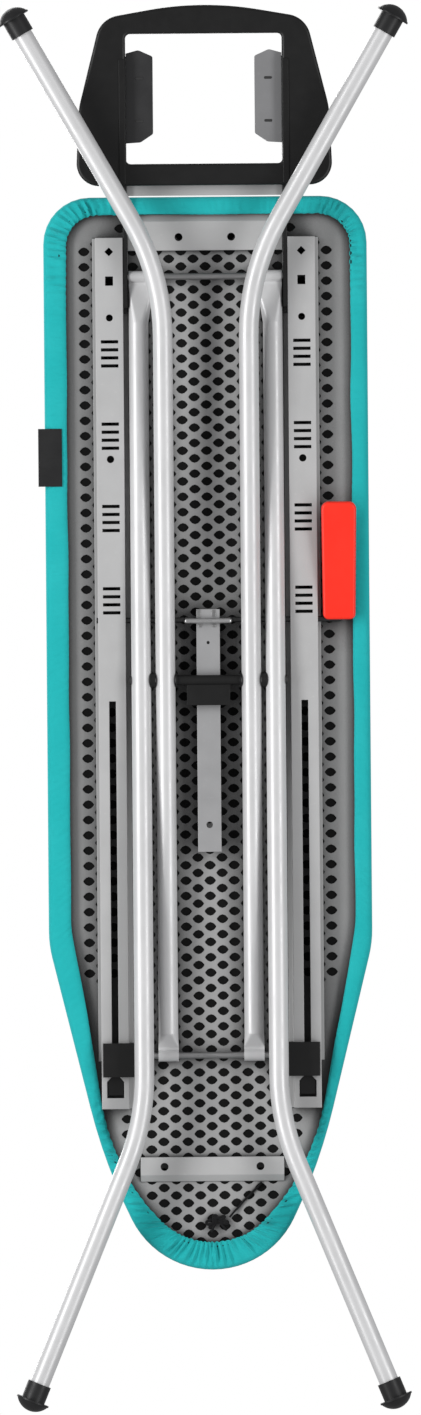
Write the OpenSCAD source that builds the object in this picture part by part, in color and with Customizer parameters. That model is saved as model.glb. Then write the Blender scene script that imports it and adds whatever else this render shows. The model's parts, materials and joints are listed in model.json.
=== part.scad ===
// Folding ironing board, folded flat, ironing surface up, standing on its four feet.
// +Y runs from the tail (iron rest) to the nose, +X to the side with the height lever.
// Depths are measured down from the underside of the mesh panel.

/* [Board] */
// Width of the covered board
board_w = 347; // [320:1:350]
// Y of the square tail end of the cover
tail_y = -547; // [-555:1:-540]
// Y where the straight sides end and the taper starts
taper_y = 240; // [230:1:245]
// Radius of the tail corners
tail_r = 50; // [30:1:70]
// Thickness of the perforated steel panel
panel_t = 1; // [0.8:0.1:1.5]
// Thickness of the felt pad
pad_t = 6; // [4:1:8]
// Thickness of the cotton cover
cover_t = 1.5; // [1:0.5:1.5]

/* [Rails] */
// Distance of each rail's centre from the board's centre line
rail_x = 103; // [103:0.5:104]
// Width of a rail's web
rail_w = 29.5; // [29:0.5:30]
// Depth of a rail below the panel
rail_h = 20; // [19:0.5:20]
// Sheet thickness of the rails
sheet = 1.2; // [1:0.1:1.2]

/* [Legs] */
// Outer diameter of the leg tubes
tube_d = 21; // [20:0.5:21]
// Wall thickness of the leg tubes
tube_wall = 1.2; // [1:0.1:1.5]
// Diameter of the three cross axles
axle_d = 7; // [6:0.5:7]
// Distance of the outer tubes from the centre line
outer_x = 72; // [71.5:0.5:72]
// Distance of the inner tubes from the centre line
inner_x = 46; // [45:0.5:46]
// Outward bend of the outer tubes, in degrees
outer_bend = 22.3; // [20:0.1:24]
// Outward bend of the inner tubes, in degrees
inner_bend = 29.8; // [28:0.1:31]
// Radius of the tube bends, to the tube's centre line
bend_r = 250; // [200:10:280]
// Radius of a rubber foot's flared rim
foot_r = 18; // [17:0.5:18]

/* [Height lever] */
// Length of the handle
handle_l = 127; // [110:1:130]
// Width of the handle
handle_w = 37.5; // [34:0.5:38]
// Diameter of the lever's rod
rod_d = 6; // [5:0.5:6]

/* [Hidden] */
$fn = 48;

// Places along the board
hinge_y = -461.2;
cross_y = -28.4;
slider_y = 374;
rod_y = -93;
rail_tail_y = -503;
rail_nose_y = 430.7;
outer_foot_y = 739.4;
inner_foot_y = -735.6;

// Depths below the panel
hinge_depth = 10.5;
cross_depth = 28;
outer_slope = (cross_depth - hinge_depth) / (cross_y - hinge_y);
outer_tilt = atan(outer_slope);
foot_depth = hinge_depth + (outer_foot_y - hinge_y) * outer_slope;
inner_slope = (foot_depth - cross_depth) / (cross_y - inner_foot_y);
inner_tilt = atan(inner_slope);
slider_depth = cross_depth - (slider_y - cross_y) * inner_slope;
foot_rim = 2;
foot_drop = foot_r * sqrt(1 - pow(sin(outer_tilt) * cos(outer_bend), 2))
    + foot_rim * sin(outer_tilt) * cos(outer_bend);
panel_z = foot_depth + foot_drop;

rim_h = 7;
rim_w = 6;
edge_gap = 2.5;
hem_depth = 9;
bore_gap = 0.05;
slide_play = 3.4;
eye_r = 6.3;
outer_eye_w = 27;
inner_eye_w = 21.8;
eye_flat = 3.2;
arm_t = 4.5;
arm_x = 83.4;
arm_top = 1.4;
arm_bottom = 19;
bar_top = 11;
rivet_depth = 15;
rest_t = 10;

function zd(depth) = panel_z - depth;
function unit(v) = v / norm(v);
function arc(centre, r, from, to, n) =
    [for (i = [0:n]) let (a = from + (to - from) * i / n) centre + r * [cos(a), sin(a)]];
function mirrored(points) =
    [for (i = [len(points) - 1:-1:0]) [-points[i][0], points[i][1]]];

// Corner b of a polygon, rounded to radius r between its neighbours a and c
function fillet(a, b, c, r, n) =
    let (u = unit(a - b), v = unit(c - b))
    let (half = acos(u * v) / 2, p = b + u * r / tan(half), q = b + v * r / tan(half))
    let (centre = b + unit(u + v) * r / sin(half))
    let (from = atan2(p[1] - centre[1], p[0] - centre[0]))
    let (to = atan2(q[1] - centre[1], q[0] - centre[0]))
    let (sweep = (to - from + 540) % 360 - 180)
    arc(centre, r, from, from + sweep, n);
// corners: [x, y, radius] in order
function rounded(corners, n = 8) =
    let (m = len(corners))
    [for (i = [0:m - 1])
        let (a = corners[(i + m - 1) % m], b = corners[i], c = corners[(i + 1) % m])
        each (b[2] == 0 ? [[b[0], b[1]]]
            : fillet([a[0], a[1]], [b[0], b[1]], [c[0], c[1]], b[2], n))];
function rounded_box(x0, y0, x1, y1, r) =
    rounded([[x0, y0, r], [x1, y0, r], [x1, y1, r], [x0, y1, r]], 5);

// Half outline of the board from the tail corner to the nose: a straight side, a knee,
// a straight taper, a shallow bow and the round nose. The nose radius closes the curve.
// shape: [half width, tail y, tail radius, taper y, knee angle, bow y, bow radius, bow angle]
knee_r = 120;
function half_outline(shape, inset) =
    let (hw = shape[0], knee_a = shape[4], nose_a = shape[4] + shape[7])
    let (knee_c = [hw - knee_r, shape[3]])
    let (knee_end = knee_c + knee_r * [cos(knee_a), sin(knee_a)])
    let (run = (shape[5] - knee_end[1]) / cos(knee_a))
    let (bow_c = knee_end + run * [-sin(knee_a), cos(knee_a)]
        - shape[6] * [cos(knee_a), sin(knee_a)])
    let (nose_r = shape[6] + bow_c[0] / cos(nose_a))
    let (nose_c = bow_c + (shape[6] - nose_r) * [cos(nose_a), sin(nose_a)])
    concat(
        arc([hw - shape[2], shape[1] + shape[2]], shape[2] - inset, -90, 0, 8),
        arc(knee_c, knee_r - inset, 0, knee_a, 4),
        arc(bow_c, shape[6] - inset, knee_a, nose_a, 6),
        arc(nose_c, nose_r - inset, nose_a, 90, 12));
function outline(shape, inset) =
    let (half = half_outline(shape, inset))
    concat(half, mirrored([for (i = [0:len(half) - 2]) half[i]]));
board_shape = [board_w / 2, tail_y, tail_r, taper_y, 13.8, 430, 600, 12.2];
hem_shape = [board_w / 2 - 21, tail_y + 19, tail_r - 16, taper_y - 15, 10, 430, 230, 34.5];

module slab(points, top, thick) {
    translate([0, 0, zd(top) - thick]) linear_extrude(thick) polygon(points);
}
module ring(outer, inner, top, thick) {
    translate([0, 0, zd(top) - thick]) linear_extrude(thick)
        difference() { polygon(outer); polygon(inner); }
}
module cross_bar(r, from, to) {
    translate([from, 0, 0]) rotate([0, 90, 0]) cylinder(r = r, h = to - from);
}
module at(y, depth) { translate([0, y, zd(depth)]) children(); }
module left_of() { mirror([1, 0, 0]) children(); }
// A round wire along a list of points
module swept(points, r, sides = 8, up = [0, 0, 1]) {
    n = len(points);
    rings = [for (i = [0:n - 1])
        let (before = points[max(i - 1, 0)], after = points[min(i + 1, n - 1)])
        let (t = unit(after - before), u = unit(cross(t, up)), v = cross(t, u))
        for (k = [0:sides - 1])
            points[i] + r * (u * cos(360 * k / sides) + v * sin(360 * k / sides))];
    walls = [for (i = [0:n - 2]) for (k = [0:sides - 1])
        let (a = i * sides + k, b = i * sides + (k + 1) % sides)
        [a, b, b + sides, a + sides]];
    last = (n - 1) * sides;
    ends = [[for (k = [sides - 1:-1:0]) k], [for (k = [0:sides - 1]) last + k]];
    polyhedron(points = rings, faces = concat(walls, ends));
}

// --- Board ---

module mesh_panel() {
    color("gray") slab(outline(board_shape, edge_gap), -panel_t, panel_t);
}
module edge_rim() {
    color("silver")
        ring(outline(board_shape, edge_gap), outline(board_shape, edge_gap + rim_w), 0, rim_h);
}
module felt_pad() {
    color([0.12, 0.12, 0.13])
        slab(outline(board_shape, edge_gap), -panel_t - pad_t, pad_t);
}
module cover() {
    top = -(panel_t + pad_t + cover_t);
    color([0.13, 0.7, 0.7]) union() {
        slab(outline(board_shape, 0), top, cover_t);
        ring(outline(board_shape, 0), outline(board_shape, cover_t), top, hem_depth - top);
        ring(outline(board_shape, 0), outline(hem_shape, 0), hem_depth, cover_t);
    }
}
module woven_label() {
    label_y = -268;
    color([0.15, 0.15, 0.15])
        translate([-180.5, label_y - 31, zd(hem_depth + cover_t + 0.7)]) cube([25.5, 62, 0.7]);
}
module drawstring_loop() {
    color([0.1, 0.1, 0.1])
        ring(outline(hem_shape, -5.5), outline(hem_shape, -3.5), rim_h + 0.2, 1.6);
}
// The bow of the drawstring where it leaves the hem at the nose
module drawstring_bow() {
    lobes = [[-9, 557, 8.5], [4, 551, 9], [14, 552, 6.5]];
    color([0.1, 0.1, 0.1]) hull()
        for (lobe = lobes)
            translate([lobe[0], lobe[1], zd(6)]) scale([1, 1, 0.55]) sphere(r = lobe[2], $fn = 24);
}
// The loose end of the drawstring, from the bow to the edge of the nose cross plate
tail_route = [
    [18, 548, 5.4], [20, 545.6, 4.7], [22, 543.1, 3.8], [24.2, 540.8, 2.9],
    [26.6, 538.5, 2.2], [29, 536, 1.8], [31, 533.2, 1.6], [33.2, 530.6, 1.5],
    [35.9, 528.4, 1.5], [38.6, 526, 1.5], [41, 523.4, 1.5], [43.2, 520.8, 1.5],
    [45.8, 518.4, 1.5], [48.4, 516, 1.5], [50.6, 513.4, 1.5], [52.5, 510.8, 1.5]];
module drawstring_tail() {
    color([0.1, 0.1, 0.1]) swept([for (p = tail_route) [p[0], p[1], zd(p[2])]], 1.1);
}

module rail() {
    half_w = rail_w / 2;
    slot_w = 7.2;
    slot_from = -6.2;
    window_from = 397.5;
    window_to = 418.9;
    vent_pitch = 8.6;
    group_pitch = 88.2;
    first_vent_y = -391.6;
    color([0.77, 0.77, 0.77]) difference() {
        union() {
            translate([0, rail_nose_y, panel_z]) rotate([90, 0, 0])
                linear_extrude(rail_nose_y - rail_tail_y) difference() {
                    translate([rail_x - half_w, -rail_h]) square([rail_w, rail_h]);
                    translate([rail_x - half_w + sheet, -rail_h - 1])
                        square([rail_w - 2 * sheet, rail_h + 2]);
                }
            translate([rail_x - half_w, rail_tail_y, zd(rail_h)])
                cube([rail_w, rail_nose_y - rail_tail_y, sheet]);
            translate([rail_x - half_w - 5, rail_tail_y, zd(sheet)])
                cube([5.6, rail_nose_y - rail_tail_y, sheet]);
            translate([rail_x + half_w - 0.6, rail_tail_y, zd(sheet)])
                cube([4.1, 883, sheet]);
        }
        translate([rail_x, 0, zd(rail_h + 1)]) {
            translate([0, -488, 0]) rotate(45) translate([-3.3, -3.3, 0]) cube([6.6, 6.6, 3]);
            translate([-4.2, -461.6, 0]) cube([8.4, 9.8, 3]);
            translate([0, -417.2, 0]) cylinder(d = 7.4, h = 3);
            translate([0, -265.6, 0]) cylinder(d = 7.8, h = 3);
            for (group = [0:3], i = [0:3])
                translate([-9.3, first_vent_y + group * group_pitch + i * vent_pitch - 1.7, 0])
                    cube([18.6, 3.4, 3]);
            translate([-slot_w / 2, slot_from, 0]) cube([slot_w, window_from - slot_from + 1, 3]);
            linear_extrude(3) polygon([[-slot_w / 2, window_from - 2], [slot_w / 2, window_from - 2],
                [9.1, window_from + 4], [9.1, window_to], [-9.1, window_to],
                [-9.1, window_from + 4]]);
        }
        at(hinge_y, hinge_depth)
            cross_bar(axle_d / 2, rail_x - half_w - 1, rail_x - half_w + sheet + 1);
        at(rod_y, hinge_depth) cross_bar(rod_d / 2 + 2, rail_x - half_w - 1, rail_x + half_w + 1);
        translate([rail_x - half_w - 5.5, -432.5, zd(sheet + 1)]) cube([4.6, 8.2, 3]);
    }
}
module rail_left() { left_of() rail(); }
module rail_right() { rail(); }

// A pressed strip with a sloping edge, between the rails
module cross_plate(half_len, y0, y1, slope_y, hole_x, hole_y) {
    face = 6;
    slope_dir = slope_y > y1 ? 1 : -1;
    near = slope_dir > 0 ? y1 : y0;
    far = slope_dir > 0 ? y0 : y1;
    color([0.72, 0.72, 0.72]) difference() {
        translate([-half_len, 0, panel_z]) rotate([90, 0, 90])
            linear_extrude(2 * half_len) polygon([
                [slope_y, 0], [slope_y, -sheet], [near, -face], [far, -face], [far, 0],
                [far + slope_dir * sheet, 0], [far + slope_dir * sheet, -face + sheet],
                [near - slope_dir * 0.5, -face + sheet], [slope_y - slope_dir * 2, 0]]);
        for (side = [-1, 1])
            translate([side * hole_x, hole_y, zd(face + 1)]) cylinder(d = 8.4, h = 3);
    }
}
module tail_cross_plate() { cross_plate(83, -520.6, -489.5, -528, 28.3, -503.8); }
module nose_cross_plate() { cross_plate(77, 483.2, 502.4, 509.4, 51.5, 493.5); }

module hinge_axle() {
    color("lightgray") at(hinge_y, hinge_depth) cross_bar(axle_d / 2, -94, 94);
}
module hinge_axle_caps() {
    color("silver") at(hinge_y, hinge_depth) for (side = [0, 1]) mirror([side, 0, 0])
        difference() {
            union() {
                cross_bar(7, 89.6, 90.6);
                cross_bar(5.2, 90.6, 95);
            }
            cross_bar(axle_d / 2, 89, 94);
        }
}
module lever_rod_bushes() {
    color([0.9, 0.9, 0.88]) at(rod_y, hinge_depth) for (side = [0, 1]) mirror([side, 0, 0])
        for (wall = [rail_x - rail_w / 2, rail_x + rail_w / 2 - sheet])
            difference() {
                union() {
                    cross_bar(rod_d / 2 + 2, wall, wall + sheet);
                    if (wall < rail_x) cross_bar(rod_d / 2 + 3.5, wall + sheet, wall + sheet + 2);
                    if (wall > rail_x) cross_bar(rod_d / 2 + 3.5, wall - 2, wall);
                }
                cross_bar(rod_d / 2 + bore_gap, wall - 3, wall + sheet + 3);
            }
}

module iron_rest_frame() {
    half = [[110, -737.5, 28], [134, -642, 80], [138, -558.3, 24]];
    corners = concat([[0, -756.6, 345]], half,
        [for (i = [2:-1:0]) [-half[i][0], half[i][1], half[i][2]]]);
    color([0.1, 0.1, 0.1]) difference() {
        slab(rounded(corners, 10), arm_bottom, rest_t);
        slab(rounded_box(-83.7, -720.9, 83.7, -581.5, 5), arm_bottom - 1, rest_t + 2);
        for (side = [-1, 1], y = [-570, -690])
            translate([side * (arm_x + arm_t / 2 + 6), y, zd(arm_bottom + rest_t + 1)])
                cylinder(d = 4, h = rest_t + 2);
    }
}
// A flat steel bar on edge, with two lugs that carry the plastic frame
module rest_arm() {
    color([0.09, 0.09, 0.09]) difference() {
        union() {
            translate([arm_x, -697, zd(arm_bottom)])
                cube([arm_t, 697 - 524, arm_bottom - bar_top]);
            translate([arm_x, -526, zd(arm_bottom)])
                cube([arm_t, 526 - 428, arm_bottom - arm_top]);
            translate([arm_x, -428, zd(hinge_depth - 2)]) cube([arm_t, 6, 6]);
            for (y = [-570, -690])
                translate([arm_x + arm_t - 0.5, y - 7, zd(arm_bottom)]) cube([12.5, 14, 2.5]);
        }
        at(hinge_y, hinge_depth) cross_bar(axle_d / 2 + 0.2, arm_x - 1, arm_x + arm_t + 1);
        for (y = [-570, -690])
            translate([arm_x + arm_t / 2 + 6, y, zd(arm_bottom + 1)]) cylinder(d = 4, h = 5);
        for (y = [-673.5, -627.5])
            at(y, rivet_depth) cross_bar(1.6, arm_x - 1, arm_x + arm_t + 1);
    }
}
module iron_rest_arm_left() { left_of() rest_arm(); }
module iron_rest_arm_right() { rest_arm(); }
// An angle plate whose short flange is riveted to the arm
module rest_plate() {
    flange = 2;
    color([0.35, 0.35, 0.36]) difference() {
        union() {
            slab(rounded([[arm_x, -604, 0], [arm_x, -700.3, 0], [70, -704, 6],
                [54.5, -697, 3], [54.5, -614, 3], [68, -605, 6]], 5), arm_bottom - 2, 2);
            translate([arm_x - flange, -698, zd(arm_bottom - 1)]) cube([flange, 92, 6.5]);
        }
        for (y = [-673.5, -627.5])
            at(y, rivet_depth) cross_bar(1.6, arm_x - flange - 1, arm_x + 1);
    }
}
module iron_rest_plate_left() { left_of() rest_plate(); }
module iron_rest_plate_right() { rest_plate(); }
module iron_rest_crossbar() {
    color([0.82, 0.82, 0.82])
        translate([-arm_x, -560.5, zd(bar_top + 1.5)]) cube([2 * arm_x, 12.5, 1.5]);
}
module iron_rest_screws() {
    color([0.2, 0.2, 0.2]) for (side = [-1, 1], y = [-570, -690])
        translate([side * (arm_x + arm_t / 2 + 6), y, zd(arm_bottom)]) {
            translate([0, 0, 2.5]) cylinder(r = 3.6, h = 2.2);
            translate([0, 0, 1 - rest_t]) cylinder(d = 4, h = rest_t + 1.5);
        }
}
module iron_rest_rivets() {
    color([0.3, 0.3, 0.3]) for (side = [0, 1], y = [-673.5, -627.5]) mirror([side, 0, 0])
        at(y, rivet_depth) {
            cross_bar(1.6, arm_x - 2, arm_x + arm_t);
            cross_bar(3, arm_x + arm_t, arm_x + arm_t + 1.4);
        }
}

// --- Legs ---

// Places children in the plane of a leg frame: the axle at the origin, feet along +Y
module outer_frame() { at(hinge_y, hinge_depth) rotate([-outer_tilt, 0, 0]) children(); }
module inner_frame() {
    at(slider_y, slider_depth) mirror([0, 1, 0]) rotate([-inner_tilt, 0, 0]) children();
}
outer_corner = (443 - hinge_y) / cos(outer_tilt);
outer_end = (outer_foot_y - hinge_y) / cos(outer_tilt);
inner_corner = (slider_y + 463) / cos(inner_tilt);
inner_end = (slider_y - inner_foot_y) / cos(inner_tilt);
outer_pivot = norm([cross_y - hinge_y, cross_depth - hinge_depth]);
inner_pivot = norm([slider_y - cross_y, cross_depth - slider_depth]);
outer_taper_end = 50;
inner_taper_end = 24;
// Where the slider axle stands when the legs are fully unfolded
fold_max = 44;
fold_ratio = 1.104;
slider_full_y = hinge_y + outer_pivot * cos(outer_tilt + fold_max)
    + inner_pivot * cos(inner_tilt + fold_ratio * fold_max);

// A hollow length of tube along +Y
module pipe(length) {
    rotate([-90, 0, 0]) difference() {
        cylinder(d = tube_d, h = length);
        translate([0, 0, -1]) cylinder(d = tube_d - 2 * tube_wall, h = length + 2);
    }
}
// A bent tube: straight from the axle, one outward bend, straight to the foot. The end at
// the axle is pressed flat and rolled into an eye. The lengths meet a hair apart.
module leg(x, eye_x, eye_w, taper_end, corner, angle, end, pivot) {
    t = bend_r * tan(angle / 2);
    seam = 0.02;
    start = taper_end + seam;
    color([0.86, 0.87, 0.88]) {
        difference() {
            translate([x, start, 0]) pipe(corner - t - seam - start);
            translate([0, pivot, 0]) cross_bar(axle_d / 2 + bore_gap, x - tube_d, x + tube_d);
        }
        translate([x + bend_r, corner - t, 0]) rotate(180 - angle)
            rotate_extrude(angle = angle, $fn = 96) translate([bend_r, 0]) difference() {
                circle(d = tube_d);
                circle(d = tube_d - 2 * tube_wall);
            }
        translate([x, corner, 0]) rotate(-angle) translate([0, t + seam, 0])
            pipe((end - corner) / cos(angle) - 6 - t - seam);
        difference() {
            union() {
                cross_bar(eye_r, eye_x - eye_w / 2, eye_x + eye_w / 2);
                translate([eye_x - eye_w / 2, 0, -eye_flat / 2]) cube([eye_w, 9.5, eye_flat]);
                hull() {
                    translate([eye_x - eye_w / 2, 9, -eye_flat / 2]) cube([eye_w, 0.5, eye_flat]);
                    translate([x, taper_end - 0.5, 0]) rotate([-90, 0, 0])
                        cylinder(d = tube_d, h = 0.5, $fn = 32);
                }
            }
            cross_bar(axle_d / 2 + bore_gap, eye_x - eye_w, eye_x + eye_w);
        }
    }
}
module outer_leg() {
    outer_frame() leg(outer_x, outer_x - 3.4, outer_eye_w, outer_taper_end,
        outer_corner, outer_bend, outer_end, outer_pivot);
}
module inner_leg() {
    inner_frame() leg(inner_x, inner_x, inner_eye_w, inner_taper_end,
        inner_corner, inner_bend, inner_end, inner_pivot);
}
module outer_leg_left() { left_of() outer_leg(); }
module outer_leg_right() { outer_leg(); }
module inner_leg_left() { left_of() inner_leg(); }
module inner_leg_right() { inner_leg(); }

// A rubber cap with a flared, domed sole, pushed over the end of a tube
module foot(x, corner, angle, end) {
    sleeve_r = 12.8;
    sleeve = 19;
    dome = 12;
    dome_r = (foot_r * foot_r + dome * dome) / (2 * dome);
    translate([x, corner, 0]) rotate([0, 0, -angle])
        translate([0, (end - corner) / cos(angle), 0]) rotate([-90, 0, 0])
            color([0.13, 0.13, 0.13]) difference() {
                union() {
                    translate([0, 0, -sleeve]) cylinder(r = sleeve_r, h = sleeve + 1);
                    cylinder(r = foot_r, h = foot_rim);
                    translate([0, 0, foot_rim]) intersection() {
                        translate([0, 0, dome - foot_rim - dome_r]) sphere(r = dome_r, $fn = 64);
                        cylinder(r = foot_r - 0.4, h = dome);
                    }
                }
                translate([0, 0, -sleeve - 1]) cylinder(d = tube_d, h = sleeve - 5);
            }
}
module outer_foot() { outer_frame() foot(outer_x, outer_corner, outer_bend, outer_end); }
module inner_foot() { inner_frame() foot(inner_x, inner_corner, inner_bend, inner_end); }
module outer_foot_left() { left_of() outer_foot(); }
module outer_foot_right() { outer_foot(); }
module inner_foot_left() { left_of() inner_foot(); }
module inner_foot_right() { inner_foot(); }

cross_end = outer_x + tube_d / 2 + 1;
module cross_axle() {
    color("lightgray") at(cross_y, cross_depth) cross_bar(axle_d / 2, -cross_end, cross_end);
}
module cross_axle_caps() {
    color("silver") at(cross_y, cross_depth) for (side = [0, 1]) mirror([side, 0, 0])
        difference() {
            cross_bar(5, cross_end - 0.9, cross_end + 1.1);
            cross_bar(axle_d / 2, cross_end - 2, cross_end);
        }
}
// A spacer between the two crossing tubes, hollowed to sit on the outer one
module saddle_washer() {
    from = inner_x + tube_d / 2 + 0.35;
    to = outer_x - tube_d / 2 + 1.2;
    color([0.16, 0.16, 0.16]) at(cross_y, cross_depth) difference() {
        cross_bar(8.3, from, to);
        cross_bar(axle_d / 2, from - 1, to + 1);
        rotate([-outer_tilt, 0, 0]) translate([outer_x, -20, 0]) rotate([-90, 0, 0])
            cylinder(d = tube_d, h = 40);
    }
}
module saddle_washer_left() { left_of() saddle_washer(); }
module saddle_washer_right() { saddle_washer(); }

module slider_axle() {
    color("lightgray") at(slider_y, slider_depth) cross_bar(axle_d / 2, -86.5, 86.5);
}
// The transport clip on the cross axle: a sleeve between the inner tubes, and a cradle
// whose two cheeks hold the lock rack when the board is folded
module centre_clip() {
    sleeve_end = inner_x - tube_d / 2 - 0.35;
    sleeve_r = 5.4;
    rack_half = 12.75;
    cradle_top = 23.7;
    color([0.17, 0.17, 0.17]) at(cross_y, cross_depth) difference() {
        union() {
            cross_bar(sleeve_r, -sleeve_end, sleeve_end);
            for (side = [-1, 1])
                translate([side * (sleeve_end - 0.75), 0, 0]) cross_bar(8, -0.75, 0.75);
            translate([-23, 2, cross_depth - cradle_top - 6]) cube([46, 25, 6]);
            for (side = [-1, 1])
                translate([side * (rack_half + 1.9) - 1.3, 10, 0])
                    cube([2.6, 17, cross_depth - 18.4]);
        }
        cross_bar(axle_d / 2 + bore_gap, -sleeve_end - 1, sleeve_end + 1);
    }
}

// --- Slide shoes ---

// A plastic shoe: a side block that holds the axle, a plate in front of the rail's web,
// a neck through the web's slot and a runner inside the rail
module slide_shoe() {
    side_from = 80.6;
    side_to = rail_x - rail_w / 2 - 0.4;
    plate_depth = rail_h + slide_play;
    plate_t = 3.5;
    y0 = 360;
    length = 36.4;
    color([0.12, 0.12, 0.12]) difference() {
        union() {
            translate([side_from, y0, zd(plate_depth + plate_t)])
                cube([116.2 - side_from, length, plate_t]);
            translate([side_from, y0, zd(plate_depth)])
                cube([side_to - side_from, length, plate_depth - slider_depth + 5.4]);
            translate([rail_x - 3.1, y0 + 4, zd(plate_depth)]) cube([6.2, 30, 6]);
            translate([rail_x - 8.5, y0 + 2, zd(rail_h - sheet - 0.4)]) cube([17, 54, 6.5]);
        }
        at(slider_y, slider_depth) cross_bar(axle_d / 2 + bore_gap, side_from - 1, 87);
    }
}
module slide_shoe_left() { left_of() slide_shoe(); }
module slide_shoe_right() { slide_shoe(); }

// --- Height lever and lock rack ---

handle_tilt = 9;
crank_half = 23;
crank_y = 1.3;
crank_drop = 13;
handle_x = 122;
// The rod as one bent wire: left end, crank in the middle, right end turned into the handle
module rod_solid() {
    r = rod_d / 2;
    crank = [0, crank_y, -crank_drop];
    bends = [[-crank_half, 0, 0], [-crank_half, crank[1], crank[2]],
        [crank_half, crank[1], crank[2]], [crank_half, 0, 0]];
    cross_bar(r, -119.5, -crank_half);
    cross_bar(r, crank_half, handle_x + 19);
    translate([0, crank[1], crank[2]]) cross_bar(r, -crank_half, crank_half);
    for (b = bends) translate(b) sphere(r = r);
    for (side = [-1, 1])
        translate([side * crank_half, 0, 0])
            rotate([180 + atan(crank_y / crank_drop), 0, 0])
                cylinder(r = r, h = norm([crank_y, crank_drop]));
    translate([handle_x + 19, 0, 0]) {
        sphere(r = r);
        rotate([90 + handle_tilt, 0, 0]) cylinder(r = r, h = 70);
    }
}
module lever_rod() {
    color("lightgray") at(rod_y, hinge_depth) rod_solid();
}
// The handle hangs below the rod; a boss on top holds the rod's tail
module lever_handle() {
    color([1, 0.23, 0.16]) at(rod_y, hinge_depth) difference() {
        rotate([handle_tilt, 0, 0]) union() {
            translate([handle_x, -handle_l - 1, -13.5]) linear_extrude(10)
                polygon(rounded([[1.5, handle_l, 6], [0, 0, 8], [handle_w, 0, 8],
                    [handle_w - 1.5, handle_l, 6]], 6));
            translate([handle_x + 9, -74, -5]) cube([20, 72, 10]);
        }
        rod_solid();
    }
}
// A torsion spring on the rod, between the crank and the right rail
module lever_spring() {
    turns = 5;
    wire = 0.8;
    coil_r = rod_d / 2 + wire + 0.4;
    steps = turns * 14;
    coil = [for (i = [0:steps]) let (a = 360 * i / 14)
        [40 + i * 2 * wire * 1.15 / 14, rod_y + coil_r * cos(a), zd(hinge_depth) + coil_r * sin(a)]];
    color("silver") swept(coil, wire, 6, up = [1, 0, 0]);
}
// The lock rack: a channel with its flanges towards the panel, notched for the slider axle
module lock_rack() {
    half_w = 12.5;
    web_top = 18;
    web_t = 1.5;
    flange_top = 15;
    tail_end = -104.3;
    nose_end = 155.7;
    notch_pitch = 15;
    color([0.72, 0.72, 0.72]) difference() {
        union() {
            translate([-half_w, tail_end, zd(web_top + web_t)])
                cube([2 * half_w, nose_end - tail_end, web_t]);
            for (side = [-1, 1])
                translate([side * (half_w - 0.75) - 0.75, rod_y + 8, zd(web_top)])
                    cube([1.5, nose_end - rod_y - 8, web_top - flange_top]);
            // hooks that hang the rack in the panel's perforations
            for (x = [-12.5, 1.5])
                translate([x, tail_end, zd(web_top)]) cube([4, 1.5, web_top - 0.5]);
        }
        for (i = [0:3])
            translate([-half_w - 1, slider_full_y + i * notch_pitch - 4.6, zd(web_top)])
                cube([2 * half_w + 2, 9.2, 4]);
        translate([0, -68.5, zd(web_top + web_t + 1)]) cylinder(d = 3.4, h = 4);
        translate([0, 126.8, zd(web_top + web_t + 1)]) cylinder(d = 7, h = 4);
    }
}

mesh_panel();
edge_rim();
felt_pad();
cover();
woven_label();
drawstring_loop();
drawstring_bow();
drawstring_tail();
rail_left();
rail_right();
tail_cross_plate();
nose_cross_plate();
hinge_axle();
hinge_axle_caps();
lever_rod_bushes();
iron_rest_frame();
iron_rest_arm_left();
iron_rest_arm_right();
iron_rest_plate_left();
iron_rest_plate_right();
iron_rest_crossbar();
iron_rest_screws();
iron_rest_rivets();
outer_leg_left();
outer_leg_right();
outer_foot_left();
outer_foot_right();
cross_axle();
cross_axle_caps();
saddle_washer_left();
saddle_washer_right();
inner_leg_left();
inner_leg_right();
inner_foot_left();
inner_foot_right();
slider_axle();
centre_clip();
slide_shoe_left();
slide_shoe_right();
lever_rod();
lever_handle();
lever_spring();
lock_rack();
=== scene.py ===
"""A folded ironing board seen from underneath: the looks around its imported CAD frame.

+Z is up out of the ironing surface, +Y runs towards the nose and +X towards the lever side.
Lengths are in millimetres until a mesh is made. Depths are measured down from the underside
of the mesh panel, as in the CAD source.
"""

import json
import math

import bmesh
import bpy
from mathutils import Matrix, Vector, noise


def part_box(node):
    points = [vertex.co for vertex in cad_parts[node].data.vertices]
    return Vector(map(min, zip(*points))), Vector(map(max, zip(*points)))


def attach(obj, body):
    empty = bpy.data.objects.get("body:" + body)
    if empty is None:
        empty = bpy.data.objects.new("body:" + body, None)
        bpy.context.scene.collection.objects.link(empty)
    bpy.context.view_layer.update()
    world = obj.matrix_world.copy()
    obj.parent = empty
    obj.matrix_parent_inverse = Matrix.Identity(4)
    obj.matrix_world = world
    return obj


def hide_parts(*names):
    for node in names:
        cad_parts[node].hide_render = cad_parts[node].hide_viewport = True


MM = 0.001
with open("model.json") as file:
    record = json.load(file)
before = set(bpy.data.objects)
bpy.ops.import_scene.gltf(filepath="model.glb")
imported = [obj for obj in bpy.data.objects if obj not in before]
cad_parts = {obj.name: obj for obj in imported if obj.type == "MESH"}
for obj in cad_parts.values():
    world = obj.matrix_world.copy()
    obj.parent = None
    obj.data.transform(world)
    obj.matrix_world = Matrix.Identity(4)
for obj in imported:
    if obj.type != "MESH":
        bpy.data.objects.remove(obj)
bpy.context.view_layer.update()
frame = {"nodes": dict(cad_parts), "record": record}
SHARP_ANGLE = math.radians(35)
SAME_POINT = 0.01 * MM
PANEL_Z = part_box("mesh_panel")[0].z / MM
BOARD_WIDTH = (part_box("cover")[1].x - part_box("cover")[0].x) / MM
TAIL_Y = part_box("cover")[0].y / MM
ROD_Y = -93.0  # the lever's axis, as in the CAD source
ROD_DEPTH = 10.5


# --- Camera ---


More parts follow.
